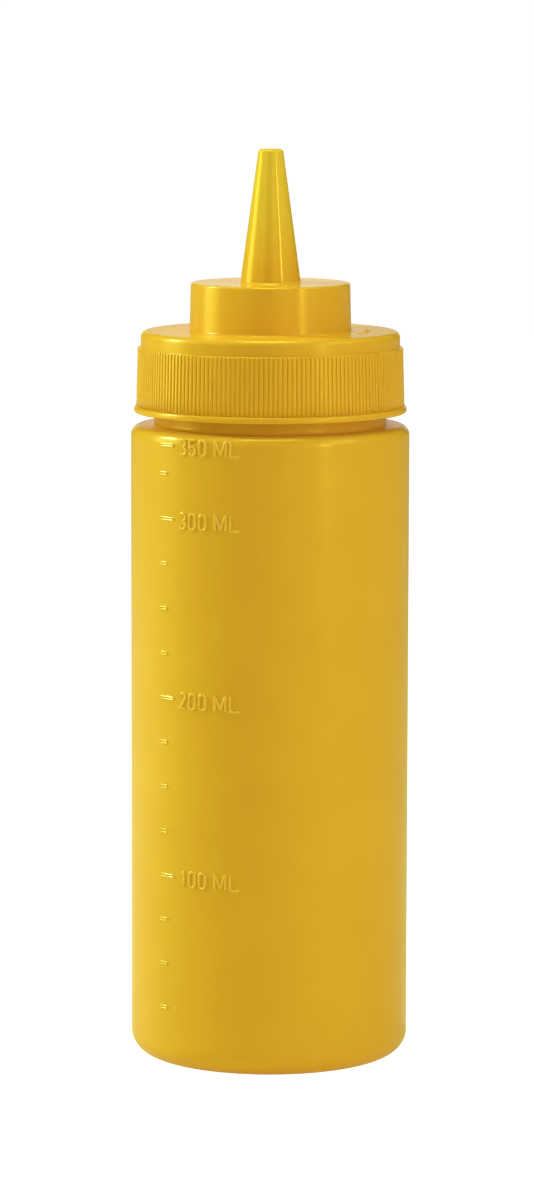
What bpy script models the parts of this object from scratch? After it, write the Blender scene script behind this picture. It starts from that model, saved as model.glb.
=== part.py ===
"""Sauce dispenser bottle: a squeeze bottle with a raised volume scale, and a ribbed cap
with a boss and a conical nozzle.

Metres, +Z up. The origin is the centre of the base, and -Y is the front. The bottle is
solid up to its shoulder, because it is opaque and shut, and its neck stands in a recess
in the underside of the cap.
"""

import math

import bmesh
import bpy
from mathutils import Matrix

MM = 0.001
GAP = 0.3 * MM
MERGE_DISTANCE = 0.005 * MM
SHARP_ANGLE = math.radians(35.0)

# Bottle
BODY_RADIUS = 30.0 * MM
BODY_STEPS = 72
BASE_CORNER_WIDTH = 5.2 * MM
BASE_CORNER_HEIGHT = 4.9 * MM
BASE_RING_WIDTH = 4.8 * MM
BASE_RECESS_DEPTH = 1.2 * MM
BASE_RECESS_EDGE = 2.0 * MM
SHOULDER_TOP = 137.5 * MM
SHOULDER_FILLET = 2.2 * MM
SHOULDER_SLOPE = math.radians(1.2)
NECK_RADIUS = 25.0 * MM
NECK_FOOT_FILLET = 0.6 * MM
NECK_TOP = 150.0 * MM
NECK_TOP_EDGE = 0.6 * MM

# Volume scale moulded on the bottle's front left
SCALE_LOWEST = 13.6 * MM
SCALE_STEP = 9.6 * MM
SCALE_TOP = 134.9 * MM
SCALE_STEP_ML = 25
SCALE_TOP_ML = 350
SCALE_LABELLED_ML = (100, 200, 300, 350)
TICK_START_ANGLE = math.radians(50.3)
LONG_TICK_LENGTH = 4.4 * MM
SHORT_TICK_LENGTH = 2.5 * MM
TICK_THICKNESS = 0.8 * MM
TICK_RELIEF = 0.3 * MM
TICK_ROOT = 1.0 * MM

# Cap, from its underside to the top of the disc
CAP_STEPS = 60
CAP_BOTTOM = 140.1 * MM
BEAD_RADIUS = 29.35 * MM
BEAD_EDGE = 0.45 * MM
BEAD_TOP = 141.5 * MM
BEAD_TOP_CHAMFER = 0.35 * MM
DISC_RADIUS = 27.87 * MM
DISC_TOP = 157.6 * MM
DISC_EDGE_FILLET = 1.3 * MM

# Ribs round the cap's skirt
RIB_COUNT = 180
RIB_CREST_SHARE = 0.45
RIB_DEPTH = 0.38 * MM
SKIRT_RADIUS_BOTTOM = 28.9 * MM
SKIRT_RADIUS_TOP = 28.55 * MM
SKIRT_TOP = 154.1 * MM
RIB_TAPER = 0.6 * MM
RIB_ROOT_RADIUS = 26.6 * MM

# Boss and nozzle
BOSS_RADIUS_BOTTOM = 17.37 * MM
BOSS_RADIUS_TOP = 17.13 * MM
BOSS_TOP = 167.95 * MM
BOSS_EDGE_FILLET = 0.5 * MM
BOSS_FOOT_FILLET = 0.5 * MM
NOZZLE_RADIUS_BOTTOM = 6.43 * MM
NOZZLE_RADIUS_TOP = 2.72 * MM
NOZZLE_TOP = 196.5 * MM
NOZZLE_TIP_FILLET = 0.7 * MM
NOZZLE_FOOT_FILLET = 0.5 * MM
ORIFICE_RADIUS = 1.7 * MM
ORIFICE_DEPTH = 12.0 * MM

YELLOW_BOTTLE = (0.80, 0.46, 0.035, 1.0)
YELLOW_CAP = (0.82, 0.48, 0.040, 1.0)
BOTTLE_ROUGHNESS = 0.32
CAP_ROUGHNESS = 0.30


def clear_scene():
    """Removes every object that the opened file holds."""
    for thing in list(bpy.data.objects):
        bpy.data.objects.remove(thing, do_unlink=True)


def new_collection(name):
    """Adds an empty collection to the scene."""
    collection = bpy.data.collections.new(name)
    bpy.context.scene.collection.children.link(collection)
    return collection


def plastic(name, colour, roughness):
    """Makes a moulded plastic of one colour."""
    material = bpy.data.materials.new(name)
    material.use_nodes = True
    shader = material.node_tree.nodes["Principled BSDF"]
    shader.inputs["Base Color"].default_value = colour
    shader.inputs["Roughness"].default_value = roughness
    shader.inputs["Metallic"].default_value = 0.0
    return material


def arc(centre, radii, start, end, steps):
    """Points of a quarter ellipse or less, as (radius, height), angles in degrees from +R."""
    points = []
    for step in range(steps + 1):
        angle = math.radians(start + (end - start) * step / steps)
        radius = centre[0] + radii[0] * math.cos(angle)
        height = centre[1] + radii[1] * math.sin(angle)
        points.append((radius, height))
    return points


def turned(name, profile, steps, collection):
    """Turns a profile about Z. It runs down the outer side, from the axis to the axis."""
    mesh = bpy.data.meshes.new(name)
    points = [(radius, 0.0, height) for radius, height in profile]
    edges = [(index, index + 1) for index in range(len(points) - 1)]
    mesh.from_pydata(points, edges, [])
    thing = bpy.data.objects.new(name, mesh)
    collection.objects.link(thing)
    screw = thing.modifiers.new("Turn", "SCREW")
    screw.axis = "Z"
    screw.angle = 2.0 * math.pi
    screw.steps = steps
    screw.render_steps = steps
    screw.use_merge_vertices = True
    screw.merge_threshold = MERGE_DISTANCE
    screw.use_smooth_shade = True
    return thing


def hide_as_guide(thing):
    """Leaves a shape that is only joined to another one out of the finished object."""
    thing.hide_render = True
    thing.display_type = "WIRE"


def join(thing, additions):
    """Joins every object of a collection to this one, and removes the collection."""
    union = thing.modifiers.new("Join", "BOOLEAN")
    union.operation = "UNION"
    union.operand_type = "COLLECTION"
    union.collection = additions
    union.solver = "EXACT"
    dependencies = bpy.context.evaluated_depsgraph_get()
    joined = bpy.data.meshes.new_from_object(thing.evaluated_get(dependencies))
    thing.modifiers.clear()
    thing.data = joined
    for addition in list(additions.objects):
        bpy.data.objects.remove(addition, do_unlink=True)
    bpy.data.collections.remove(additions)


def shade(thing, material):
    """Gives a piece its material, smooth on its round faces and sharp at its edges."""
    thing.data.materials.clear()
    thing.data.materials.append(material)
    thing.data.shade_smooth()
    thing.data.set_sharp_from_angle(angle=SHARP_ANGLE)


def bottle_profile():
    """The bottle's outline, from the top of the neck down to the middle of the base."""
    neck_top = [
        (0.0, NECK_TOP),
        (NECK_RADIUS - NECK_TOP_EDGE, NECK_TOP),
        (NECK_RADIUS, NECK_TOP - NECK_TOP_EDGE),
    ]
    foot_centre = (NECK_RADIUS + NECK_FOOT_FILLET, SHOULDER_TOP + NECK_FOOT_FILLET)
    neck_foot = arc(foot_centre, (NECK_FOOT_FILLET, NECK_FOOT_FILLET), 180.0, 270.0, 2)
    slope_end = BODY_RADIUS - SHOULDER_FILLET
    drop = (slope_end - NECK_RADIUS) * math.tan(SHOULDER_SLOPE)
    fillet_centre = (slope_end, SHOULDER_TOP - drop - SHOULDER_FILLET)
    shoulder = arc(fillet_centre, (SHOULDER_FILLET, SHOULDER_FILLET), 90.0, 0.0, 5)
    corner_centre = (BODY_RADIUS - BASE_CORNER_WIDTH, BASE_CORNER_HEIGHT)
    base_corner = arc(corner_centre, (BASE_CORNER_WIDTH, BASE_CORNER_HEIGHT), 0.0, -90.0, 6)
    ring_inside = BODY_RADIUS - BASE_CORNER_WIDTH - BASE_RING_WIDTH
    recess = [
        (ring_inside, 0.0),
        (ring_inside - BASE_RECESS_EDGE, BASE_RECESS_DEPTH / 2),
        (ring_inside / 2, BASE_RECESS_DEPTH),
        (0.0, BASE_RECESS_DEPTH),
    ]
    return neck_top + neck_foot + shoulder + base_corner + recess


def cap_profile():
    """The cap's outline without its ribs, from the orifice's floor to the recess's roof."""
    orifice = [
        (0.0, NOZZLE_TOP - ORIFICE_DEPTH),
        (ORIFICE_RADIUS, NOZZLE_TOP - ORIFICE_DEPTH),
        (ORIFICE_RADIUS, NOZZLE_TOP),
    ]
    tip_centre = (NOZZLE_RADIUS_TOP - NOZZLE_TIP_FILLET, NOZZLE_TOP - NOZZLE_TIP_FILLET)
    tip = arc(tip_centre, (NOZZLE_TIP_FILLET, NOZZLE_TIP_FILLET), 90.0, 0.0, 3)
    nozzle_centre = (NOZZLE_RADIUS_BOTTOM + NOZZLE_FOOT_FILLET, BOSS_TOP + NOZZLE_FOOT_FILLET)
    nozzle_foot = arc(nozzle_centre, (NOZZLE_FOOT_FILLET, NOZZLE_FOOT_FILLET), 180.0, 270.0, 2)
    boss_centre = (BOSS_RADIUS_TOP - BOSS_EDGE_FILLET, BOSS_TOP - BOSS_EDGE_FILLET)
    boss_edge = arc(boss_centre, (BOSS_EDGE_FILLET, BOSS_EDGE_FILLET), 90.0, 0.0, 3)
    foot_centre = (BOSS_RADIUS_BOTTOM + BOSS_FOOT_FILLET, DISC_TOP + BOSS_FOOT_FILLET)
    boss_foot = arc(foot_centre, (BOSS_FOOT_FILLET, BOSS_FOOT_FILLET), 180.0, 270.0, 2)
    disc_centre = (DISC_RADIUS - DISC_EDGE_FILLET, DISC_TOP - DISC_EDGE_FILLET)
    disc_edge = arc(disc_centre, (DISC_EDGE_FILLET, DISC_EDGE_FILLET), 90.0, 0.0, 4)
    bead_centre = (BEAD_RADIUS - BEAD_EDGE, CAP_BOTTOM + BEAD_EDGE)
    bead = [
        (DISC_RADIUS, BEAD_TOP),
        (BEAD_RADIUS - BEAD_TOP_CHAMFER, BEAD_TOP),
        (BEAD_RADIUS, BEAD_TOP - BEAD_TOP_CHAMFER),
    ]
    bead += arc(bead_centre, (BEAD_EDGE, BEAD_EDGE), 0.0, -90.0, 3)
    recess = [
        (NECK_RADIUS + GAP, CAP_BOTTOM),
        (NECK_RADIUS + GAP, NECK_TOP + GAP),
        (0.0, NECK_TOP + GAP),
    ]
    return orifice + tip + nozzle_foot + boss_edge + boss_foot + disc_edge + bead + recess


def rib_outline(crest_radius, valley_radius):
    """Points round the skirt: each rib has a flat crest, and a sharp valley beside it."""
    pitch = 2.0 * math.pi / RIB_COUNT
    half_crest = RIB_CREST_SHARE * pitch / 2
    points = []
    for rib in range(RIB_COUNT):
        middle = rib * pitch
        corners = (
            (middle - half_crest, crest_radius),
            (middle + half_crest, crest_radius),
            (middle + pitch / 2, valley_radius),
        )
        points += [(radius * math.cos(angle), radius * math.sin(angle)) for angle, radius in corners]
    return points


def rib_band(collection):
    """A ring with upright ribs outside, whose tops run out to the skirt's top edge."""
    bottom = (BEAD_TOP + CAP_BOTTOM) / 2
    taper_start = SKIRT_TOP - RIB_TAPER
    valley_bottom = SKIRT_RADIUS_BOTTOM - RIB_DEPTH
    valley_top = SKIRT_RADIUS_TOP - RIB_DEPTH
    levels = (
        (rib_outline(SKIRT_RADIUS_BOTTOM, valley_bottom), bottom),
        (rib_outline(SKIRT_RADIUS_TOP, valley_top), taper_start),
        (rib_outline(valley_top, valley_top), SKIRT_TOP),
        (rib_outline(RIB_ROOT_RADIUS, RIB_ROOT_RADIUS), SKIRT_TOP),
        (rib_outline(RIB_ROOT_RADIUS, RIB_ROOT_RADIUS), bottom),
    )
    form = bmesh.new()
    rings = [[form.verts.new((x, y, height)) for x, y in outline] for outline, height in levels]
    for lower, upper in zip(rings, rings[1:] + rings[:1]):
        for index in range(len(lower)):
            following = (index + 1) % len(lower)
            form.faces.new((lower[index], lower[following], upper[following], upper[index]))
    mesh = bpy.data.meshes.new("rib_band")
    form.to_mesh(mesh)
    form.free()
    band = bpy.data.objects.new("rib_band", mesh)
    collection.objects.link(band)
    hide_as_guide(band)
    return band


def tick(name, height, length, collection):
    """One raised line of the volume scale, a flat bar let into the wall."""
    bar = bmesh.new()
    bmesh.ops.create_cube(bar, size=1.0)
    depth = TICK_ROOT + TICK_RELIEF
    bmesh.ops.scale(bar, vec=(length, depth, TICK_THICKNESS), verts=bar.verts)
    distance = BODY_RADIUS - TICK_ROOT + depth / 2
    bmesh.ops.translate(bar, vec=(0.0, -distance, height), verts=bar.verts)
    turn = -(TICK_START_ANGLE - length / 2 / BODY_RADIUS)
    bmesh.ops.rotate(bar, matrix=Matrix.Rotation(turn, 3, "Z"), verts=bar.verts)
    mesh = bpy.data.meshes.new(name)
    bar.to_mesh(mesh)
    bar.free()
    thing = bpy.data.objects.new(name, mesh)
    collection.objects.link(thing)
    hide_as_guide(thing)
    return thing


def scale_ticks(collection):
    """Every line of the volume scale, evenly spaced, with long lines at the figures."""
    for volume in range(SCALE_STEP_ML, SCALE_TOP_ML + 1, SCALE_STEP_ML):
        height = SCALE_LOWEST + SCALE_STEP * (volume / SCALE_STEP_ML - 1)
        if volume == SCALE_TOP_ML:
            height = SCALE_TOP
        length = LONG_TICK_LENGTH if volume in SCALE_LABELLED_ML else SHORT_TICK_LENGTH
        tick(f"tick_{volume}", height, length, collection)


def build():
    """Builds the bottle and the cap."""
    clear_scene()
    parts = new_collection("sauce_dispenser_bottle")
    ticks = new_collection("volume_scale")
    ribs = new_collection("cap_ribs")

    bottle = turned("bottle", bottle_profile(), BODY_STEPS, parts)
    scale_ticks(ticks)
    join(bottle, ticks)
    shade(bottle, plastic("bottle_plastic", YELLOW_BOTTLE, BOTTLE_ROUGHNESS))

    cap = turned("cap", cap_profile(), CAP_STEPS, parts)
    rib_band(ribs)
    join(cap, ribs)
    shade(cap, plastic("cap_plastic", YELLOW_CAP, CAP_ROUGHNESS))


build()
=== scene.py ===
"""Looks of the sauce dispenser bottle: a squeeze bottle with a moulded volume scale, and
a ribbed cap with a boss and a pouring nozzle, in yellow plastic on a plain white floor.

Metres, +Z up, in the frame of the solids: the origin is the centre of the base, and -Y is
the front.
"""

import logging
import math
from collections.abc import Iterable, Sequence
from dataclasses import dataclass, field
from enum import Enum

import bmesh
import bpy
from mathutils import Matrix, Vector


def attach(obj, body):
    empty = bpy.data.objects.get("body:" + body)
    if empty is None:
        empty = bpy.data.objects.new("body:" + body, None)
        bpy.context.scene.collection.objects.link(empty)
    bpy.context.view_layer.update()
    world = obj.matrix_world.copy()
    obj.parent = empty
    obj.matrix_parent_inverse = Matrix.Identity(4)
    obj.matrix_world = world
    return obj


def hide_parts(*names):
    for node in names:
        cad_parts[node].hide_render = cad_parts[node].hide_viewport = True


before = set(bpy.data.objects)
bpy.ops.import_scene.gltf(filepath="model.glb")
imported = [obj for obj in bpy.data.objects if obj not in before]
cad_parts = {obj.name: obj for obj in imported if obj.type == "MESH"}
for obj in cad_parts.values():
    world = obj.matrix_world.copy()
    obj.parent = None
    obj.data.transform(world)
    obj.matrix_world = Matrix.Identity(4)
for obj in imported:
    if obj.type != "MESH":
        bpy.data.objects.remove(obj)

MM = 0.001
BODY = "root"
ON_AXIS = 1e-7

Point = tuple[float, float]
Colour = tuple[float, float, float, float]
Socket = bpy.types.NodeSocket

WHITE: Colour = (1.0, 1.0, 1.0, 1.0)

log = logging.getLogger("sauce_dispenser_bottle")


class SolidNode(Enum):
    """The solids that the pieces stand for."""

    BOTTLE = "bottle"
    CAP = "cap"


class PlasticSlot(Enum):
    """The record's material slots."""

    BOTTLE = "bottle_plastic"
    CAP = "cap_plastic"


class TickLength(Enum):
    """The two lengths of line on the volume scale."""

    LONG = 4.7 * MM
    SHORT = 2.75 * MM


class NodeSheet:
    """A node tree under construction, for a material, the world or a modifier."""

    def __init__(self, tree: bpy.types.NodeTree) -> None:
        """Starts on a tree.

        Args:
            tree: The tree that the nodes go into.
        """
        self.tree = tree
        self.column = 0

    def add(self, kind: str, **settings: object) -> bpy.types.Node:
        """Adds a node to the right of the last one.

        Args:
            kind: The node's type name.
            **settings: Properties to set on the node.

        Returns:
            The new node.
        """
        node = self.tree.nodes.new(kind)
        node.location = (200.0 * self.column, 0.0)
        self.column += 1
        for name, value in settings.items():
            setattr(node, name, value)
        return node

    def feed(self, socket: Socket, value: object) -> None:
        """Links a socket to an output, or sets its value.

        Args:
            socket: The input to fill.
            value: An output socket, or a plain value.
        """
        if isinstance(value, Socket):
            self.tree.links.new(value, socket)
        else:
            socket.default_value = value

    def sum_of(self, operation: str, *terms: object) -> Socket:
        """Adds a maths node.

        Args:
            operation: The maths node's operation.
            *terms: Output sockets or numbers, one for each input.

        Returns:
            The result's socket.
        """
        node = self.add("ShaderNodeMath", operation=operation)
        for socket, term in zip(node.inputs, terms):
            self.feed(socket, term)
        return node.outputs[0]

    def mix(self, share: object, first: object, second: object) -> Socket:
        """Adds a colour mix.

        Args:
            share: How much of the second colour there is.
            first: A colour or its socket.
            second: A colour or its socket.

        Returns:
            The mixed colour's socket.
        """
        node = self.add("ShaderNodeMix", data_type="RGBA", blend_type="MIX")
        self.feed(node.inputs["Factor"], share)
        sockets = [socket for socket in node.inputs if socket.type == "RGBA"]
        self.feed(sockets[0], first)
        self.feed(sockets[1], second)
        return next(socket for socket in node.outputs if socket.type == "RGBA")

    def step(self, kind: str, output: str, inputs: dict[str, object], **settings: object) -> Socket:
        """Adds a node, fills its inputs and gives one of its outputs.

        Args:
            kind: The node's type name.
            output: The name of the output to give.
            inputs: A value or a socket for each input's name.
            **settings: Properties to set on the node.

        Returns:
            The output's socket.
        """
        node = self.add(kind, **settings)
        self.fill(node, inputs)
        return node.outputs[output]

    def fill(self, node: bpy.types.Node, inputs: dict[str, object]) -> None:
        """Feeds a node's inputs by their names."""
        for name, value in inputs.items():
            self.feed(node.inputs[name], value)

    def vector(self, x: object = 0.0, y: object = 0.0, z: object = 0.0) -> Socket:
        """Joins three numbers or sockets into a vector."""
        return self.step("ShaderNodeCombineXYZ", "Vector", {"X": x, "Y": y, "Z": z})

    def noise(self, place: Socket, size: float, detail: float) -> Socket:
        """Adds a noise of a real size.

        Args:
            place: The coordinates that the pattern is read at.
            size: The size of one patch, in metres.
            detail: How many finer layers it has.

        Returns:
            The noise's value.
        """
        pattern = {"Vector": place, "Scale": 1.0 / size, "Detail": detail}
        return self.step("ShaderNodeTexNoise", "Fac", pattern)

    def ranged(self, value: Socket, source: Point, target: Point, kind: str = "LINEAR") -> Socket:
        """Maps a value from one range onto another, and holds it inside that.

        Args:
            value: The value's socket.
            source: The range that it comes from.
            target: The range that it goes to.
            kind: The way from one end to the other.

        Returns:
            The mapped value.
        """
        ends = {"From Min": source[0], "From Max": source[1], "To Min": target[0], "To Max": target[1]}
        return self.step("ShaderNodeMapRange", "Result", {"Value": value} | ends, interpolation_type=kind)

    def drawn(self, seed: Socket, low: object, high: object) -> Socket:
        """Draws a random number for each point.

        Args:
            seed: The seed's socket.
            low: The lowest number.
            high: The highest number.

        Returns:
            The number's socket.
        """
        node = self.add("FunctionNodeRandomValue", data_type="FLOAT")
        self.feed(node.inputs["Seed"], seed)
        ends = [socket for socket in node.inputs if socket.type == "VALUE"]
        self.feed(ends[0], low)
        self.feed(ends[1], high)
        return next(socket for socket in node.outputs if socket.type == "VALUE")


class NodeTool:
    """A Geometry Nodes tree with named inputs, run once on an object."""

    KINDS = {int: "NodeSocketInt", float: "NodeSocketFloat", bpy.types.Material: "NodeSocketMaterial"}

    def __init__(self, name: str, plastic: bpy.types.Material) -> None:
        """Makes a tree with its group input and output, and asks for the material.

        Args:
            name: The name of the tree and of the finished piece.
            plastic: The finished piece's material.
        """
        self.name = name
        self.tree = bpy.data.node_groups.new(name, "GeometryNodeTree")
        self.sheet = NodeSheet(self.tree)
        self.values: dict[str, object] = {}
        for side in ("INPUT", "OUTPUT"):
            self.tree.interface.new_socket("Geometry", in_out=side, socket_type="NodeSocketGeometry")
        self.entry = self.sheet.add("NodeGroupInput")
        self.material = self.ask("Material", plastic)

    def ask(self, name: str, value: object) -> Socket:
        """Adds a named input to the tree.

        Args:
            name: The input's name.
            value: The value that the modifier gives it.

        Returns:
            The input's socket inside the tree.
        """
        kind = self.KINDS[type(value)]
        socket = self.tree.interface.new_socket(name, in_out="INPUT", socket_type=kind)
        self.values[socket.identifier] = value
        return self.entry.outputs[name]

    def repeated(self, points: Socket, shape: Socket, angle: Socket, scale: object) -> Socket:
        """Puts a shape on every point, turned about Z.

        Args:
            points: The points.
            shape: The shape to repeat.
            angle: How far each one is turned.
            scale: The size of each one along its three axes.

        Returns:
            The instances' socket.
        """
        turn = {"Euler": self.sheet.vector(z=angle)}
        turned = self.sheet.step("FunctionNodeEulerToRotation", "Rotation", turn)
        copies = {"Points": points, "Instance": shape, "Rotation": turned, "Scale": scale}
        return self.sheet.step("GeometryNodeInstanceOnPoints", "Instances", copies)

    def run(self, shapes: Socket, seed: bpy.types.Mesh) -> bpy.types.Object:
        """Ends the tree in Realize Instances and Set Material, and runs it on a mesh.

        Args:
            shapes: The shapes that the tree makes.
            seed: The mesh that the tree starts from.

        Returns:
            The finished piece, a plain mesh without modifiers.
        """
        realized = self.sheet.step("GeometryNodeRealizeInstances", "Geometry", {"Geometry": shapes})
        surface = {"Geometry": realized, "Material": self.material}
        dressed = self.sheet.step("GeometryNodeSetMaterial", "Geometry", surface)
        self.sheet.feed(self.sheet.add("NodeGroupOutput").inputs["Geometry"], dressed)

        source = add_object(f"{self.name}_seed", seed)
        modifier = source.modifiers.new(self.name, "NODES")
        modifier.node_group = self.tree
        for identifier, value in self.values.items():
            modifier[identifier] = value
        dependencies = bpy.context.evaluated_depsgraph_get()
        made = bpy.data.meshes.new_from_object(source.evaluated_get(dependencies))
        bpy.data.objects.remove(source, do_unlink=True)
        made.name = self.name
        made.shade_smooth()
        return add_object(self.name, made)


def add_object(name: str, mesh: bpy.types.Mesh) -> bpy.types.Object:
    """Puts a mesh in the scene as an object at the origin.

    Args:
        name: The object's name.
        mesh: Its mesh.

    Returns:
        The new object.
    """
    piece = bpy.data.objects.new(name, mesh)
    bpy.context.scene.collection.objects.link(piece)
    return piece


def mesh_of(form: bmesh.types.BMesh, name: str) -> bpy.types.Mesh:
    """Turns a drawn form into a mesh, and lets the form go.

    Args:
        form: The form.
        name: The mesh's name.

    Returns:
        The new mesh.
    """
    mesh = bpy.data.meshes.new(name)
    form.to_mesh(mesh)
    form.free()
    return mesh


def arc_points(centre: Point, radii: Point, start: float, end: float, steps: int) -> list[Point]:
    """Draws an arc of an ellipse.

    Args:
        centre: Its centre.
        radii: Its half width and half height.
        start: Where it starts, in degrees from the right.
        end: Where it ends.
        steps: How many straight pieces it has.

    Returns:
        Its points.
    """
    angles = [math.radians(start + (end - start) * step / steps) for step in range(steps + 1)]
    return [(centre[0] + radii[0] * math.cos(a), centre[1] + radii[1] * math.sin(a)) for a in angles]


def start_material(name: str) -> tuple[bpy.types.Material, NodeSheet, bpy.types.Node, Socket]:
    """Starts a node material on object coordinates.

    Args:
        name: The material's name.

    Returns:
        The material, its nodes, its surface and its coordinates.
    """
    material = bpy.data.materials.new(name)
    material.use_nodes = True
    sheet = NodeSheet(material.node_tree)
    place = sheet.add("ShaderNodeTexCoord").outputs["Object"]
    return material, sheet, material.node_tree.nodes["Principled BSDF"], place


@dataclass(frozen=True)
class MouldedPlastic:
    """Yellow moulded plastic with a soft gloss, a fine grain and a faint unevenness."""

    name: str
    colour: Colour
    deep_colour: Colour
    roughness_low: float
    roughness_high: float
    mottle_size: float = 14.0 * MM
    mottle_range: Point = (0.35, 0.65)
    smear_size: float = 3.5 * MM
    smear_range: Point = (0.3, 0.7)
    grain_size: float = 0.55 * MM
    grain_height: float = 0.002 * MM
    ripple_size: float = 9.0 * MM
    ripple_height: float = 0.05 * MM
    scratch_size: float = 0.35 * MM
    scratch_stretch: float = 0.06
    scratch_range: Point = (0.62, 0.76)
    scratch_depth: float = 0.008
    gloss: float = 0.5
    gloss_tint: Colour = (1.0, 0.80, 0.06, 1.0)

    def scratches(self, sheet: NodeSheet, place: Socket) -> Socket:
        """Adds fine upright scuffs, as handling leaves on soft plastic.

        Args:
            sheet: The material's nodes.
            place: The coordinates that the pattern is read at.

        Returns:
            How much rougher each place is.
        """
        stretch = {"Vector": place, "Scale": (1.0, 1.0, self.scratch_stretch)}
        streaks = sheet.noise(sheet.step("ShaderNodeMapping", "Vector", stretch), self.scratch_size, 2.0)
        return sheet.ranged(streaks, self.scratch_range, (0.0, self.scratch_depth), "SMOOTHSTEP")

    def tone(self, sheet: NodeSheet, place: Socket, colour: Socket) -> Socket:
        """Gives the colour as it is, for a wall of one thickness."""
        return colour

    def polish(self, sheet: NodeSheet, place: Socket, rough: Socket) -> Socket:
        """Gives the roughness as it is, for a mould of one finish."""
        return rough

    def build(self) -> bpy.types.Material:
        """Makes the material.

        Returns:
            A node material on object coordinates.
        """
        material, sheet, shader, place = start_material(self.name)
        mottle = sheet.ranged(sheet.noise(place, self.mottle_size, 3.0), self.mottle_range, (0.0, 1.0))
        mixed = sheet.mix(mottle, self.colour, self.deep_colour)
        smears = sheet.noise(place, self.smear_size, 2.0)
        rough = sheet.ranged(smears, self.smear_range, (self.roughness_low, self.roughness_high))
        total = sheet.sum_of("ADD", rough, self.scratches(sheet, place))
        ripple = {"Height": sheet.noise(place, self.ripple_size, 1.0), "Distance": self.ripple_height}
        waved = sheet.step("ShaderNodeBump", "Normal", ripple)
        grain = {"Height": sheet.noise(place, self.grain_size, 2.0), "Distance": self.grain_height}
        grained = sheet.step("ShaderNodeBump", "Normal", grain | {"Normal": waved})
        surface = {"Base Color": self.tone(sheet, place, mixed), "Normal": grained}
        surface |= {"Roughness": self.polish(sheet, place, total)}
        sheet.fill(shader, surface | {"Specular IOR Level": self.gloss, "Specular Tint": self.gloss_tint})
        return material


@dataclass(frozen=True)
class ThinningPlastic(MouldedPlastic):
    """The cap's plastic, which is lighter and smoother up the thin nozzle."""

    thin_colour: Colour = (0.84, 0.56, 0.046, 1.0)
    thick_height: float = 164.0 * MM
    smooth_height: float = 171.0 * MM
    thin_height: float = 193.0 * MM
    thin_smoothing: float = 0.12

    def rise(self, sheet: NodeSheet, place: Socket, top: float, most: float) -> Socket:
        """Rises smoothly from nothing on the skirt to the most, at a top up the nozzle."""
        height = sheet.step("ShaderNodeSeparateXYZ", "Z", {"Vector": place})
        return sheet.ranged(height, (self.thick_height, top), (0.0, most), "SMOOTHSTEP")

    def tone(self, sheet: NodeSheet, place: Socket, colour: Socket) -> Socket:
        """Lightens the colour where the wall is thin."""
        return sheet.mix(self.rise(sheet, place, self.thin_height, 1.0), colour, self.thin_colour)

    def polish(self, sheet: NodeSheet, place: Socket, rough: Socket) -> Socket:
        """Smooths the surface where the wall is thin."""
        smoother = self.rise(sheet, place, self.smooth_height, self.thin_smoothing)
        return sheet.sum_of("SUBTRACT", rough, smoother)


@dataclass(frozen=True)
class StudioPaper:
    """White paper under the bottle, lit evenly from below as a light table is."""

    name: str = "studio_paper"
    colour: Colour = (0.44, 0.41, 0.30, 1.0)
    shade_colour: Colour = (0.42, 0.39, 0.28, 1.0)
    patch_size: float = 0.4
    roughness: float = 0.8
    glow_around: float = 0.37
    glow_tint: Colour = (1.0, 0.88, 0.36, 1.0)

    def build(self) -> bpy.types.Material:
        """Makes the material.

        Returns:
            A node material on object coordinates.
        """
        material, sheet, shader, place = start_material(self.name)
        patches = sheet.noise(place, self.patch_size, 2.0)
        seen = sheet.add("ShaderNodeLightPath").outputs["Is Camera Ray"]
        glow = sheet.sum_of("MAXIMUM", seen, self.glow_around)
        lit = {"Emission Color": sheet.mix(seen, self.glow_tint, WHITE), "Emission Strength": glow}
        lit["Base Color"] = sheet.mix(patches, self.shade_colour, self.colour)
        sheet.fill(shader, lit | {"Roughness": self.roughness})
        return material


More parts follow.
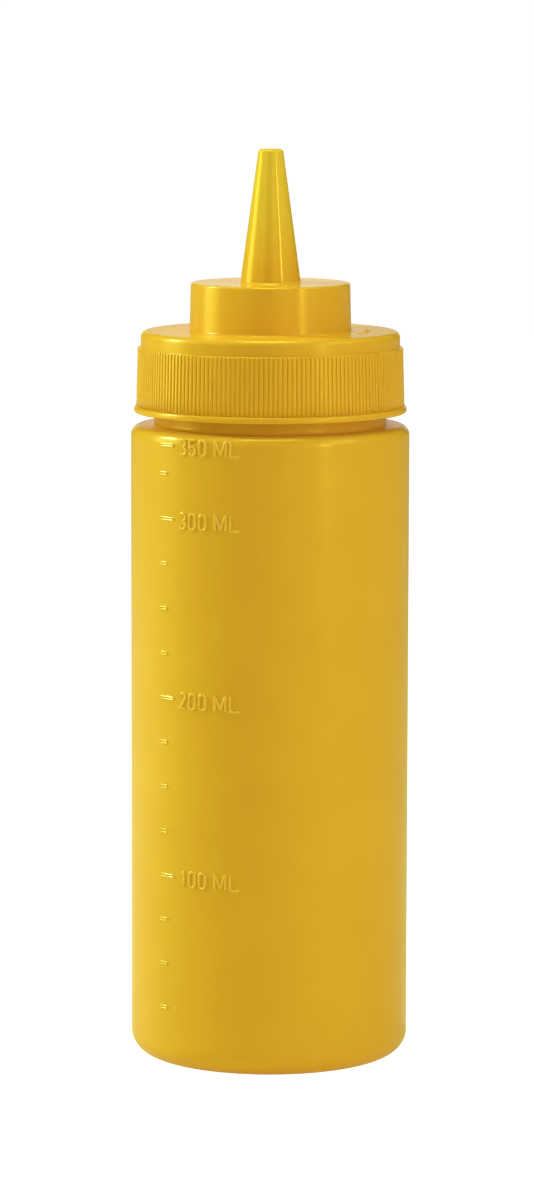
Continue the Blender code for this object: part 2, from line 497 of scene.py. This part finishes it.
@dataclass
class TurnedOutline:
    """The outline of a turned piece, drawn down its outer side from top to bottom."""

    points: list[Point] = field(default_factory=list)
    hold: float = 0.12 * MM
    longest: float = 6.0 * MM

    def to(self, radius: float, height: float) -> "TurnedOutline":
        """Adds one point and gives this outline, for the next step."""
        self.points.append((radius, height))
        return self

    def arc(self, centre: Point, radii: Point, start: float, end: float, steps: int) -> "TurnedOutline":
        """Adds an arc of an ellipse and gives this outline, for the next step."""
        self.points += arc_points(centre, radii, start, end, steps)
        return self

    def held(self) -> list[Point]:
        """Adds points beside the ends of long stretches, so that they shade flat.

        Returns:
            The finer outline.
        """
        finer = [self.points[0]]
        for (r0, z0), (r1, z1) in zip(self.points, self.points[1:]):
            length = math.hypot(r1 - r0, z1 - z0)
            if length > 4.0 * self.hold:
                inner = max(1, round(length / self.longest))
                between = [step / inner for step in range(1, inner)]
                shares = [self.hold / length, *between, 1.0 - self.hold / length]
                finer += [(r0 + (r1 - r0) * share, z0 + (z1 - z0) * share) for share in shares]
            finer.append((r1, z1))
        return finer

    def turned(self, name: str, segments: int) -> bpy.types.Object:
        """Turns the outline about Z into a closed mesh.

        Args:
            name: The piece's name.
            segments: How many flats there are round it.

        Returns:
            The new piece, shaded smooth.
        """
        form = bmesh.new()
        rings: list[list[bmesh.types.BMVert]] = []
        for radius, height in self.held():
            if radius < ON_AXIS:
                rings.append([form.verts.new((0.0, 0.0, height))])
                continue
            ring = []
            for step in range(segments):
                angle = 2.0 * math.pi * step / segments
                ring.append(form.verts.new((radius * math.cos(angle), radius * math.sin(angle), height)))
            rings.append(ring)
        for upper, lower in zip(rings, rings[1:]):
            for step in range(segments):
                after = (step + 1) % segments
                corners = [upper[step % len(upper)], lower[step % len(lower)]]
                corners += [lower[after % len(lower)], upper[after % len(upper)]]
                distinct = list(dict.fromkeys(corners))
                if len(distinct) > 2:
                    form.faces.new(distinct)
        mesh = mesh_of(form, name)
        mesh.shade_smooth()
        return add_object(name, mesh)


def dress(
    piece: bpy.types.Object, material: bpy.types.Material, slot: PlasticSlot, node: SolidNode
) -> bpy.types.Object:
    """Gives a piece its material and its body, hides the solid that it stands for and logs its triangles.

    Args:
        piece: The finished piece.
        material: Its material.
        slot: Not used.
        node: The solid that it replaces.

    Returns:
        The piece.
    """
    piece.data.materials.clear()
    piece.data.materials.append(material)
    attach(piece, BODY)
    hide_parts(node.value)
    triangles = sum(len(face.vertices) - 2 for face in piece.data.polygons)
    log.info("%s: %d triangles, for %s", piece.name, triangles, node.value)
    return piece


@dataclass
class SqueezeBottle:
    """The bottle under the cap: a straight wall, a flat shoulder and a neck."""

    plastic: bpy.types.Material
    radius: float = 30.0 * MM
    corner_width: float = 5.2 * MM
    corner_height: float = 4.9 * MM
    ring_width: float = 4.8 * MM
    recess_depth: float = 1.2 * MM
    recess_edge: float = 2.0 * MM
    shoulder_top: float = 137.5 * MM
    shoulder_fillet: float = 2.2 * MM
    shoulder_slope: float = math.radians(1.2)
    neck_radius: float = 25.0 * MM
    neck_foot_fillet: float = 0.6 * MM
    neck_top: float = 150.0 * MM
    neck_edge: float = 0.6 * MM
    segments: int = 256

    def outline(self) -> TurnedOutline:
        """Draws the bottle from the top of its neck to the middle of its base.

        Returns:
            The outline.
        """
        line = TurnedOutline().to(0.0, self.neck_top)
        edge = (self.neck_edge, self.neck_edge)
        line.arc((self.neck_radius - self.neck_edge, self.neck_top - self.neck_edge), edge, 90.0, 0.0, 4)
        foot = self.neck_foot_fillet
        line.arc((self.neck_radius + foot, self.shoulder_top + foot), (foot, foot), 180.0, 270.0, 5)
        slope_end = self.radius - self.shoulder_fillet
        drop = (slope_end - self.neck_radius) * math.tan(self.shoulder_slope)
        fillet = (self.shoulder_fillet, self.shoulder_fillet)
        line.arc((slope_end, self.shoulder_top - drop - self.shoulder_fillet), fillet, 90.0, 0.0, 14)
        corner = (self.corner_width, self.corner_height)
        line.arc((self.radius - self.corner_width, self.corner_height), corner, 0.0, -90.0, 20)
        inside = self.radius - self.corner_width - self.ring_width
        line.to(inside, 0.0)
        line.to(inside - self.recess_edge, self.recess_depth / 2)
        line.to(inside / 2, self.recess_depth)
        return line.to(0.0, self.recess_depth)

    def build(self) -> bpy.types.Object:
        """Makes the bottle's finished piece."""
        piece = self.outline().turned("bottle_shell", self.segments)
        return dress(piece, self.plastic, PlasticSlot.BOTTLE, SolidNode.BOTTLE)


@dataclass
class ReliefBead:
    """A raised half-round line on the bottle's wall, the pen of ticks and figures."""

    wall_radius: float
    width: float
    relief: float
    step: float = 0.1 * MM
    sides: int = 20
    end_share: float = 0.25

    def sweep(self, sheet: NodeSheet, curves: Socket) -> Socket:
        """Sweeps a half-round line along flat curves, with round ends.

        Args:
            sheet: The tree's nodes.
            curves: The curves, flat in XY.

        Returns:
            The lines' meshes, still flat.
        """
        spacing = {"Curve": curves, "Length": self.step}
        even = sheet.step("GeometryNodeResampleCurve", "Curve", spacing, mode="LENGTH")
        upright = sheet.step("GeometryNodeSetCurveNormal", "Curve", {"Curve": even}, mode="Z_UP")

        along = sheet.add("GeometryNodeSplineParameter").outputs["Length"]
        whole = sheet.add("GeometryNodeSplineLength").outputs["Length"]
        left = sheet.sum_of("SUBTRACT", whole, along)
        near = sheet.sum_of("MINIMUM", along, left)
        share = sheet.sum_of("DIVIDE", near, self.width / 2)
        inward = sheet.sum_of("SUBTRACT", 1.0, sheet.sum_of("MINIMUM", share, 1.0))
        square = sheet.sum_of("MULTIPLY", inward, inward)
        round_end = sheet.sum_of("SQRT", sheet.sum_of("SUBTRACT", 1.0, square))
        end = sheet.sum_of("MAXIMUM", round_end, self.end_share)
        closed = sheet.add("GeometryNodeInputSplineCyclic").outputs["Cyclic"]
        thickness = sheet.sum_of("MAXIMUM", end, closed)

        round_pen = {"Resolution": self.sides, "Radius": 1.0}
        ring = sheet.step("GeometryNodeCurvePrimitiveCircle", "Curve", round_pen)
        flattening = {"Geometry": ring, "Scale": (self.width / 2, self.relief, 1.0)}
        oval = sheet.step("GeometryNodeTransform", "Geometry", flattening)
        sweeping = {"Curve": upright, "Profile Curve": oval, "Scale": thickness, "Fill Caps": True}
        return sheet.step("GeometryNodeCurveToMesh", "Mesh", sweeping)

    def wrap(self, sheet: NodeSheet, shapes: Socket) -> Socket:
        """Lays flat shapes on the round wall: X runs round it and Y up it.

        Args:
            sheet: The tree's nodes.
            shapes: Meshes drawn flat, with their relief along Z.

        Returns:
            The meshes on the wall.
        """
        loose = sheet.step("GeometryNodeRealizeInstances", "Geometry", {"Geometry": shapes})
        parts = sheet.add("ShaderNodeSeparateXYZ")
        sheet.feed(parts.inputs["Vector"], sheet.add("GeometryNodeInputPosition").outputs["Position"])
        angle = sheet.sum_of("DIVIDE", parts.outputs["X"], self.wall_radius)
        distance = sheet.sum_of("ADD", parts.outputs["Z"], self.wall_radius)
        back = sheet.sum_of("MULTIPLY", distance, -1.0)
        across = sheet.sum_of("MULTIPLY", distance, sheet.sum_of("SINE", angle))
        along = sheet.sum_of("MULTIPLY", back, sheet.sum_of("COSINE", angle))
        placing = {"Geometry": loose, "Position": sheet.vector(across, along, parts.outputs["Y"])}
        return sheet.step("GeometryNodeSetPosition", "Geometry", placing)


@dataclass
class StrokeFigures:
    """Plain narrow figures and letters, drawn as centre lines with lines and arcs."""

    height: float
    digit_width: float
    wide_letter: float
    steps: int = 14

    def bow(self, centre: Point, radii: Point, start: float, end: float) -> list[Point]:
        """Draws an arc in as many pieces as all the signs' arcs have."""
        return arc_points(centre, radii, start, end, self.steps)

    def strokes(self, sign: str) -> tuple[list[Point], bool, float]:
        """Draws one sign from its lower left corner.

        Args:
            sign: A figure or a letter.

        Returns:
            Its points, whether it is a closed loop, and its width.
        """
        tall, wide, half = self.height, self.digit_width, self.digit_width / 2
        if sign == "0":
            top = self.bow((half, tall - half), (half, half), 180.0, 0.0)
            return top + self.bow((half, half), (half, half), 0.0, -180.0), True, wide
        if sign == "1":
            return [(0.1 * wide, 0.80 * tall), (0.62 * wide, tall), (0.62 * wide, 0.0)], False, 0.8 * wide
        if sign == "2":
            top = self.bow((half, tall - half), (half, half), 165.0, -28.0)
            return top + [(0.0, 0.0), (wide, 0.0)], False, wide
        if sign == "3":
            upper = self.bow((half, 0.76 * tall), (half * 0.94, 0.24 * tall), 155.0, -90.0)
            lower = self.bow((half, 0.26 * tall), (half, 0.26 * tall), 90.0, -155.0)
            return upper + lower, False, wide
        if sign == "5":
            bowl = self.bow((half, 0.30 * tall), (half, 0.30 * tall), 135.0, -150.0)
            return [(0.92 * wide, tall), (0.12 * wide, tall), (0.04 * wide, 0.50 * tall)] + bowl, False, wide
        if sign == "M":
            far = self.wide_letter
            points = [(0.0, 0.0), (0.0, tall), (far / 2, 0.12 * tall), (far, tall), (far, 0.0)]
            return points, False, far
        foot = 0.84 * self.wide_letter
        return [(0.0, tall), (0.0, 0.0), (foot, 0.0)], False, foot


@dataclass
class VolumeScale:
    """The raised scale on the bottle's front left: a line at each step, and figures."""

    plastic: bpy.types.Material
    wall_radius: float
    lowest: float = 13.6 * MM
    step: float = 9.6 * MM
    top: float = 134.9 * MM
    step_ml: int = 25
    top_ml: int = 350
    labelled_every: int = 4
    left_angle: float = math.radians(51.4)
    line_width: float = 0.42 * MM
    line_relief: float = 0.20 * MM
    line_spread: float = 0.52 * MM
    line_corner_points: int = 6
    text_left_angle: float = math.radians(39.45)
    figure_height: float = 3.20 * MM
    figure_drop: float = 0.15 * MM
    figure_width: float = 1.57 * MM
    letter_width: float = 2.42 * MM
    figure_gap: float = 0.91 * MM
    letter_gap: float = 0.95 * MM
    word_gap: float = 2.20 * MM
    pen_width: float = 0.62 * MM
    pen_relief: float = 0.26 * MM
    unit: str = "ML"

    def loop(self, sheet: NodeSheet, length: Socket) -> Socket:
        """Draws the edge of one line, a long loop with round ends.

        Args:
            sheet: The tree's nodes.
            length: The line's whole length.

        Returns:
            The loop's curve, from its left end.
        """
        sides = {"Width": sheet.sum_of("SUBTRACT", length, self.line_width), "Height": self.line_spread}
        box = sheet.step("GeometryNodeCurvePrimitiveQuadrilateral", "Curve", sides)
        bends = {"Curve": box, "Count": self.line_corner_points, "Radius": self.line_spread / 2}
        bends["Limit Radius"] = True
        rounded = sheet.step("GeometryNodeFilletCurve", "Curve", bends, mode="POLY")
        middle = sheet.vector(sheet.sum_of("MULTIPLY", length, 0.5))
        return sheet.step("GeometryNodeTransform", "Geometry", {"Geometry": rounded, "Translation": middle})

    def lines(self) -> bpy.types.Object:
        """Makes every line of the scale by Geometry Nodes.

        Returns:
            The finished piece.
        """
        tool = NodeTool("scale_lines", self.plastic)
        sheet = tool.sheet
        count = tool.ask("Count", self.top_ml // self.step_ml)
        rise = tool.ask("Step", self.step)
        start = tool.ask("Lowest", self.lowest)
        top = tool.ask("Top", self.top)
        every = tool.ask("Labelled Every", self.labelled_every)
        long_line = tool.ask("Long Line", TickLength.LONG.value)
        short_line = tool.ask("Short Line", TickLength.SHORT.value)

        index = sheet.add("GeometryNodeInputIndex").outputs["Index"]
        number = sheet.sum_of("ADD", index, 1.0)
        last = sheet.sum_of("COMPARE", number, count, 0.1)
        height = sheet.sum_of("MULTIPLY_ADD", index, rise, start)
        lift = sheet.sum_of("MULTIPLY", last, sheet.sum_of("SUBTRACT", top, height))
        spot = sheet.vector(-self.left_angle * self.wall_radius, sheet.sum_of("ADD", height, lift))
        marks = sheet.step("GeometryNodePoints", "Geometry", {"Count": count, "Position": spot})

        remainder = sheet.sum_of("MODULO", number, every)
        labelled = sheet.sum_of("MAXIMUM", sheet.sum_of("LESS_THAN", remainder, 0.5), last)
        plain = sheet.sum_of("SUBTRACT", 1.0, labelled)
        bead = ReliefBead(self.wall_radius, self.line_width, self.line_relief)
        join = sheet.add("GeometryNodeJoinGeometry")
        for length, chosen in ((long_line, labelled), (short_line, plain)):
            line = bead.sweep(sheet, self.loop(sheet, length))
            copies = {"Points": marks, "Selection": chosen, "Instance": line}
            placed = sheet.step("GeometryNodeInstanceOnPoints", "Instances", copies)
            sheet.feed(join.inputs["Geometry"], placed)
        return tool.run(bead.wrap(sheet, join.outputs["Geometry"]), bpy.data.meshes.new("scale_seed"))

    def label_strokes(self, volume: int, height: float) -> Iterable[tuple[list[Point], bool]]:
        """Draws the figures and the unit of one label, flat.

        Args:
            volume: The volume that the label gives.
            height: The height of its middle on the wall.

        Yields:
            Each sign's points, and whether they close.
        """
        pen = StrokeFigures(self.figure_height, self.figure_width, self.letter_width)
        left = -self.text_left_angle * self.wall_radius
        for sign in f"{volume} {self.unit}":
            if sign == " ":
                left += self.word_gap - self.figure_gap
                continue
            points, closed, width = pen.strokes(sign)
            shift = 0.1 * self.figure_width if sign == "1" else 0.0
            base = height - self.figure_drop - self.figure_height / 2
            yield [(left + shift + x, base + y) for x, y in points], closed
            advance = self.figure_width if sign == "1" else width
            left += advance + (self.letter_gap if sign.isalpha() else self.figure_gap)

    def figures(self) -> bpy.types.Object:
        """Makes the figures, swept along their strokes by Geometry Nodes.

        Returns:
            The finished piece.
        """
        volumes = range(self.step_ml, self.top_ml + 1, self.step_ml)
        form = bmesh.new()
        for order, volume in enumerate(volumes):
            last = volume == self.top_ml
            if (order + 1) % self.labelled_every and not last:
                continue
            height = self.top if last else self.lowest + self.step * order
            for points, closed in self.label_strokes(volume, height):
                corners = [form.verts.new((x, y, 0.0)) for x, y in points]
                follow = corners[1:] + (corners[:1] if closed else [])
                for here, there in zip(corners, follow):
                    form.edges.new((here, there))
        bmesh.ops.remove_doubles(form, verts=form.verts, dist=0.002 * MM)

        tool = NodeTool("scale_figures", self.plastic)
        sheet = tool.sheet
        curves = sheet.step("GeometryNodeMeshToCurve", "Curve", {"Mesh": tool.entry.outputs["Geometry"]})
        bead = ReliefBead(self.wall_radius, self.pen_width, self.pen_relief)
        return tool.run(bead.wrap(sheet, bead.sweep(sheet, curves)), mesh_of(form, "figure_strokes"))

    def build(self) -> list[bpy.types.Object]:
        """Makes the finished lines and figures."""
        pieces = (self.lines(), self.figures())
        return [dress(piece, self.plastic, PlasticSlot.BOTTLE, SolidNode.BOTTLE) for piece in pieces]


@dataclass
class NozzleCap:
    """The screw cap: a ribbed skirt on a bead, a disc, a boss and the pouring nozzle."""

    plastic: bpy.types.Material
    bottom: float = 140.1 * MM
    bead_radius: float = 29.35 * MM
    bead_edge: float = 0.45 * MM
    bead_top: float = 141.5 * MM
    bead_shoulder: float = 0.55 * MM
    skirt_bottom_radius: float = 28.9 * MM
    skirt_top_radius: float = 28.55 * MM
    skirt_top: float = 154.1 * MM
    ledge_edge: float = 0.12 * MM
    rib_count: int = 180
    rib_depth: float = 0.22 * MM
    rib_width_share: float = 0.86
    rib_root: float = 0.1 * MM
    rib_flatness: float = 3.0
    rib_steps: int = 12
    rib_levels: int = 4
    rib_foot: float = 0.15 * MM
    rib_end: float = 0.35 * MM
    rib_end_steps: int = 5
    rib_end_gap: float = 0.02 * MM
    rib_end_relief: float = 0.05
    rib_unevenness: float = 0.0012
    disc_radius: float = 27.87 * MM
    disc_top: float = 157.6 * MM
    disc_fillet: float = 1.3 * MM
    boss_bottom_radius: float = 17.37 * MM
    boss_top_radius: float = 17.13 * MM
    boss_top: float = 167.95 * MM
    boss_fillet: float = 0.5 * MM
    boss_foot: float = 0.5 * MM
    nozzle_bottom_radius: float = 6.43 * MM
    nozzle_top_radius: float = 2.72 * MM
    nozzle_top: float = 196.5 * MM
    tip_fillet: float = 0.7 * MM
    nozzle_foot: float = 0.5 * MM
    orifice_radius: float = 1.7 * MM
    orifice_depth: float = 12.0 * MM
    orifice_edge: float = 0.15 * MM
    neck_space: float = 25.3 * MM
    neck_space_top: float = 150.3 * MM
    segments: int = 240
    seed: int = 7

    def core_radius(self, height: float) -> float:
        """Gives the radius at the bottom of the valleys between the ribs."""
        share = (height - self.bead_top) / (self.skirt_top - self.bead_top)
        crest = self.skirt_bottom_radius + (self.skirt_top_radius - self.skirt_bottom_radius) * share
        return crest - self.rib_depth

    def outline(self) -> TurnedOutline:
        """Draws the cap from the floor of its orifice to the roof of the neck's space.

        Returns:
            The outline.
        """
        line = TurnedOutline().to(0.0, self.nozzle_top - self.orifice_depth)
        line.to(self.orifice_radius, self.nozzle_top - self.orifice_depth)
        edge = self.orifice_edge
        line.arc((self.orifice_radius + edge, self.nozzle_top - edge), (edge, edge), 180.0, 90.0, 3)
        tip = self.tip_fillet
        line.arc((self.nozzle_top_radius - tip, self.nozzle_top - tip), (tip, tip), 90.0, 0.0, 8)
        foot = self.nozzle_foot
        line.arc((self.nozzle_bottom_radius + foot, self.boss_top + foot), (foot, foot), 180.0, 270.0, 6)
        top = self.boss_fillet
        line.arc((self.boss_top_radius - top, self.boss_top - top), (top, top), 90.0, 0.0, 8)
        foot = self.boss_foot
        line.arc((self.boss_bottom_radius + foot, self.disc_top + foot), (foot, foot), 180.0, 270.0, 6)
        rim = self.disc_fillet
        line.arc((self.disc_radius - rim, self.disc_top - rim), (rim, rim), 90.0, 0.0, 12)
        line.to(self.disc_radius, self.skirt_top)
        ledge = self.ledge_edge
        skirt = self.core_radius(self.skirt_top)
        line.arc((skirt - ledge, self.skirt_top - ledge), (ledge, ledge), 90.0, 0.0, 3)
        line.to(self.core_radius(self.bead_top), self.bead_top)
        shoulder = self.bead_shoulder
        line.arc((self.bead_radius - shoulder, self.bead_top - shoulder), (shoulder, shoulder), 90.0, 0.0, 4)
        under = self.bead_edge
        line.arc((self.bead_radius - under, self.bottom + under), (under, under), 0.0, -90.0, 6)
        line.to(self.neck_space, self.bottom)
        line.to(self.neck_space, self.neck_space_top)
        return line.to(0.0, self.neck_space_top)

    def rib_section(self, height: float, relief: float) -> list[Vector]:
        """Draws one level of a rib: a flat crest with round edges, and its root inside the skirt.

        Args:
            height: The level's height.
            relief: How far the crest stands out, as a share of the full depth.

        Returns:
            The level's points, in order round the rib.
        """
        core = self.core_radius(height)
        half = self.rib_width_share * math.pi * core / self.rib_count
        power = 2.0 / self.rib_flatness
        points = []
        for step in range(self.rib_steps + 1):
            turn = math.cos(math.pi * step / self.rib_steps)
            rise = math.sin(math.pi * step / self.rib_steps)
            across = math.copysign(half * abs(turn) ** power, turn)
            out = core + self.rib_depth * relief * abs(rise) ** power
            points.append(Vector((across, -out, height)))
        return points + [Vector((side, self.rib_root - core, height)) for side in (-half, half)]

    def rib_seed(self) -> bpy.types.Mesh:
        """Makes one rib at the front, with a rounded top end.

        Returns:
            The mesh that the tree repeats.
        """
        start = self.skirt_top - self.rib_end
        foot = self.bead_top - self.rib_foot
        straight = self.rib_levels
        levels = [(foot + (start - foot) * step / straight, 1.0) for step in range(straight)]
        for step in range(self.rib_end_steps + 1):
            share = step / self.rib_end_steps
            relief = max(math.sqrt(max(0.0, 1.0 - share * share)), self.rib_end_relief)
            levels.append((start + (self.rib_end - self.rib_end_gap) * share, relief))
        form = bmesh.new()
        rings = [[form.verts.new(point) for point in self.rib_section(z, relief)] for z, relief in levels]
        for lower, upper in zip(rings, rings[1:]):
            for here in range(len(lower)):
                after = (here + 1) % len(lower)
                form.faces.new((lower[here], upper[here], upper[after], lower[after]))
        form.faces.new(rings[0])
        form.faces.new(list(reversed(rings[-1])))
        bmesh.ops.recalc_face_normals(form, faces=form.faces)
        return mesh_of(form, "rib_seed")

    def ribs(self) -> bpy.types.Object:
        """Repeats the rib round the skirt by Geometry Nodes.

        Returns:
            The finished piece.
        """
        tool = NodeTool("skirt_ribs", self.plastic)
        sheet = tool.sheet
        count = tool.ask("Rib Count", self.rib_count)
        seed = tool.ask("Seed", self.seed)
        spread = tool.ask("Uneven Depth", self.rib_unevenness)
        marks = sheet.step("GeometryNodePoints", "Geometry", {"Count": count})
        share = sheet.sum_of("DIVIDE", sheet.add("GeometryNodeInputIndex").outputs["Index"], count)
        angle = sheet.sum_of("MULTIPLY", share, 2.0 * math.pi)
        depth = sheet.drawn(seed, sheet.sum_of("SUBTRACT", 1.0, spread), 1.0)
        rib = tool.entry.outputs["Geometry"]
        return tool.run(tool.repeated(marks, rib, angle, sheet.vector(1.0, depth, 1.0)), self.rib_seed())

    def build(self) -> list[bpy.types.Object]:
        """Makes the cap's finished shell and ribs."""
        pieces = (self.outline().turned("cap_shell", self.segments), self.ribs())
        return [dress(piece, self.plastic, PlasticSlot.CAP, SolidNode.CAP) for piece in pieces]


@dataclass
class DiscPips:
    """A few low pips that the mould leaves on the right of the cap's disc."""

    plastic: bpy.types.Material
    disc_top: float
    count: int = 7
    ring_radius: float = 20.6 * MM
    middle_angle: float = math.radians(-5.0)
    spread: float = math.radians(34.0)
    pip_length: float = 1.3 * MM
    pip_width: float = 0.9 * MM
    pip_relief: float = 0.16 * MM
    seed: int = 5
    stray: float = 1.0 * MM
    pip_segments: int = 16
    pip_rings: int = 10

    def build(self) -> bpy.types.Object:
        """Repeats a flat pip along an arc by Geometry Nodes.

        Returns:
            The finished piece.
        """
        tool = NodeTool("disc_pips", self.plastic)
        sheet = tool.sheet
        count = tool.ask("Pip Count", self.count)
        radius = tool.ask("Ring Radius", self.ring_radius)
        spread = tool.ask("Spread", self.spread)
        seed = tool.ask("Seed", self.seed)
        share = sheet.sum_of("DIVIDE", sheet.add("GeometryNodeInputIndex").outputs["Index"], count)
        start = sheet.sum_of("SUBTRACT", self.middle_angle, sheet.sum_of("DIVIDE", spread, 2.0))
        angle = sheet.sum_of("MULTIPLY_ADD", share, spread, start)
        reach = sheet.sum_of("ADD", radius, sheet.drawn(seed, -self.stray, self.stray))
        across = sheet.sum_of("MULTIPLY", reach, sheet.sum_of("COSINE", angle))
        along = sheet.sum_of("MULTIPLY", reach, sheet.sum_of("SINE", angle))
        spot = sheet.vector(across, along, self.disc_top)
        marks = sheet.step("GeometryNodePoints", "Geometry", {"Count": count, "Position": spot})
        round_form = {"Segments": self.pip_segments, "Rings": self.pip_rings, "Radius": 1.0}
        ball = sheet.step("GeometryNodeMeshUVSphere", "Mesh", round_form)
        size = (self.pip_width / 2, self.pip_length / 2, self.pip_relief)
        pip = sheet.step("GeometryNodeTransform", "Geometry", {"Geometry": ball, "Scale": size})
        pips = tool.repeated(marks, pip, angle, (1.0, 1.0, 1.0))
        piece = tool.run(pips, bpy.data.meshes.new("pip_seed"))
        return dress(piece, self.plastic, PlasticSlot.CAP, SolidNode.CAP)


@dataclass(frozen=True)
class SoftLight:
    """A rectangular soft light that faces the bottle."""

    name: str
    azimuth: float
    elevation: float
    distance: float
    width: float
    height: float
    power: float
    colour: tuple[float, float, float] = (1.0, 1.0, 1.0)

    def build(self, target: Vector) -> None:
        """Makes the light.

        Args:
            target: The point that it faces.
        """
        lamp = bpy.data.lights.new(self.name, "AREA")
        lamp.shape = "RECTANGLE"
        lamp.size = self.width
        lamp.size_y = self.height
        lamp.energy = self.power
        lamp.color = self.colour
        light = bpy.data.objects.new(self.name, lamp)
        side, rise = math.radians(self.azimuth), math.radians(self.elevation)
        away = Vector((math.sin(side) * math.cos(rise), -math.cos(side) * math.cos(rise), math.sin(rise)))
        light.location = target + away * self.distance
        light.rotation_mode = "QUATERNION"
        light.rotation_quaternion = (-away).to_track_quat("-Z", "Y")
        light.visible_camera = False
        bpy.context.scene.collection.objects.link(light)
        log.info("light %s: %.1f W", self.name, self.power)


@dataclass
class Studio:
    """The plain pale studio: white paper, soft lights, a pale room and the camera."""

    paper: bpy.types.Material
    floor_radius: float = 40.0
    floor_sides: int = 96
    target: tuple[float, float, float] = (0.0, 0.0, 0.09)
    camera_distance: float = 1.0896
    camera_height: float = 0.2426
    camera_left: float = 0.00062
    camera_tilt: float = math.radians(7.5)
    camera_roll: float = math.radians(0.12)
    focal_length: float = 152.3
    sensor_width: float = 36.0
    view_depth: float = 100.0
    backdrop: float = 0.8
    backdrop_edge: float = 0.93
    backdrop_full: float = 0.99
    backdrop_colour: Colour = (1.0, 0.88, 0.70, 1.0)
    lights: Sequence[SoftLight] = (
        SoftLight("key_left", -104.0, 34.0, 0.95, 0.10, 0.12, 4.8, (0.80, 1.0, 1.0)),
        SoftLight("side_left", -95.0, 14.0, 0.95, 0.45, 0.50, 4.2, (0.80, 1.0, 0.35)),
        SoftLight("front_left", -35.0, 14.0, 0.95, 0.40, 0.50, 0.78, (0.88, 1.0, 1.0)),
        SoftLight("front_right", 20.0, 14.0, 0.95, 0.40, 0.50, 0.88, (1.0, 0.88, 0.85)),
        SoftLight("strip_right", 46.0, 14.0, 0.95, 0.10, 0.50, 2.05, (1.0, 0.98, 0.96)),
        SoftLight("side_right", 64.0, 14.0, 0.95, 0.28, 0.50, 0.45, (0.80, 1.0, 1.0)),
        SoftLight("high_right", 72.0, 40.0, 0.95, 0.30, 0.42, 1.75, (0.80, 1.0, 0.70)),
        SoftLight("top_soft", 0.0, 89.0, 0.95, 0.40, 0.40, 5.7, (0.87, 1.0, 0.36)),
    )

    def floor(self) -> None:
        """Lays the paper out to the horizon."""
        form = bmesh.new()
        bmesh.ops.create_circle(form, cap_ends=True, radius=self.floor_radius, segments=self.floor_sides)
        floor = add_object("studio_floor", mesh_of(form, "studio_floor"))
        floor.data.materials.append(self.paper)

    def room(self) -> None:
        """Makes the white backdrop: it lights the bottle from behind, and is seen all round."""
        world = bpy.data.worlds.new("studio_room")
        world.use_nodes = True
        sheet = NodeSheet(world.node_tree)
        view = sheet.add("ShaderNodeTexCoord").outputs["Generated"]
        depth = sheet.step("ShaderNodeSeparateXYZ", "Y", {"Vector": view})
        edge = (self.backdrop_edge, self.backdrop_full)
        fade = sheet.ranged(depth, edge, (0.0, self.backdrop), "SMOOTHSTEP")
        seen = sheet.add("ShaderNodeLightPath").outputs["Is Camera Ray"]
        strength = sheet.sum_of("MAXIMUM", fade, seen)
        colour = sheet.mix(seen, self.backdrop_colour, WHITE)
        sheet.fill(world.node_tree.nodes["Background"], {"Strength": strength, "Color": colour})
        bpy.context.scene.world = world

    def camera(self) -> None:
        """Sets the camera at the photograph's viewing angle."""
        lens = bpy.data.cameras.new("photo_camera")
        lens.lens = self.focal_length
        lens.sensor_width = self.sensor_width
        lens.clip_end = self.view_depth
        camera = bpy.data.objects.new("photo_camera", lens)
        place = Matrix.Translation((-self.camera_left, -self.camera_distance, self.camera_height))
        tilt = Matrix.Rotation(math.radians(90.0) - self.camera_tilt, 4, "X")
        roll = Matrix.Rotation(self.camera_roll, 4, "Z")
        camera.matrix_world = place @ tilt @ roll
        bpy.context.scene.collection.objects.link(camera)
        bpy.context.scene.camera = camera

    def build(self) -> None:
        """Sets up the floor, the room, the lights, the camera and the plain colour transform."""
        self.floor()
        self.room()
        for light in self.lights:
            light.build(Vector(self.target))
        self.camera()
        bpy.context.scene.view_settings.view_transform = "Standard"


def main() -> None:
    """Builds the bottle, its scale, its cap and the studio."""
    logging.basicConfig(level=logging.INFO, format="%(name)s %(message)s")
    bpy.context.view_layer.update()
    bottle_plastic = MouldedPlastic(
        name="bottle_moulding",
        colour=(0.825, 0.453, 0.036, 1.0),
        deep_colour=(0.805, 0.434, 0.034, 1.0),
        roughness_low=0.200,
        roughness_high=0.225,
    ).build()
    # The scale is moulded in the bottle's own plastic. Its colour is set lighter than the bottle's as a
    # painted highlight, standing in for the light that the raised lines and figures catch.
    scale_plastic_painted_lighter = MouldedPlastic(
        name="scale_moulding_painted_highlight",
        colour=(0.875, 0.530, 0.044, 1.0),
        deep_colour=(0.865, 0.520, 0.042, 1.0),
        roughness_low=0.16,
        roughness_high=0.19,
        ripple_height=0.0,
        gloss=1.0,
        gloss_tint=(1.0, 0.92, 0.45, 1.0),
    ).build()
    cap_plastic = ThinningPlastic(
        name="cap_moulding",
        colour=(0.82, 0.440, 0.035, 1.0),
        deep_colour=(0.80, 0.425, 0.033, 1.0),
        roughness_low=0.225,
        roughness_high=0.245,
        ripple_height=0.012 * MM,
    ).build()
    bottle = SqueezeBottle(bottle_plastic)
    bottle.build()
    VolumeScale(scale_plastic_painted_lighter, bottle.radius).build()
    cap = NozzleCap(cap_plastic)
    cap.build()
    DiscPips(cap_plastic, cap.disc_top).build()
    Studio(StudioPaper().build()).build()


if __name__ == "__main__":
    main()
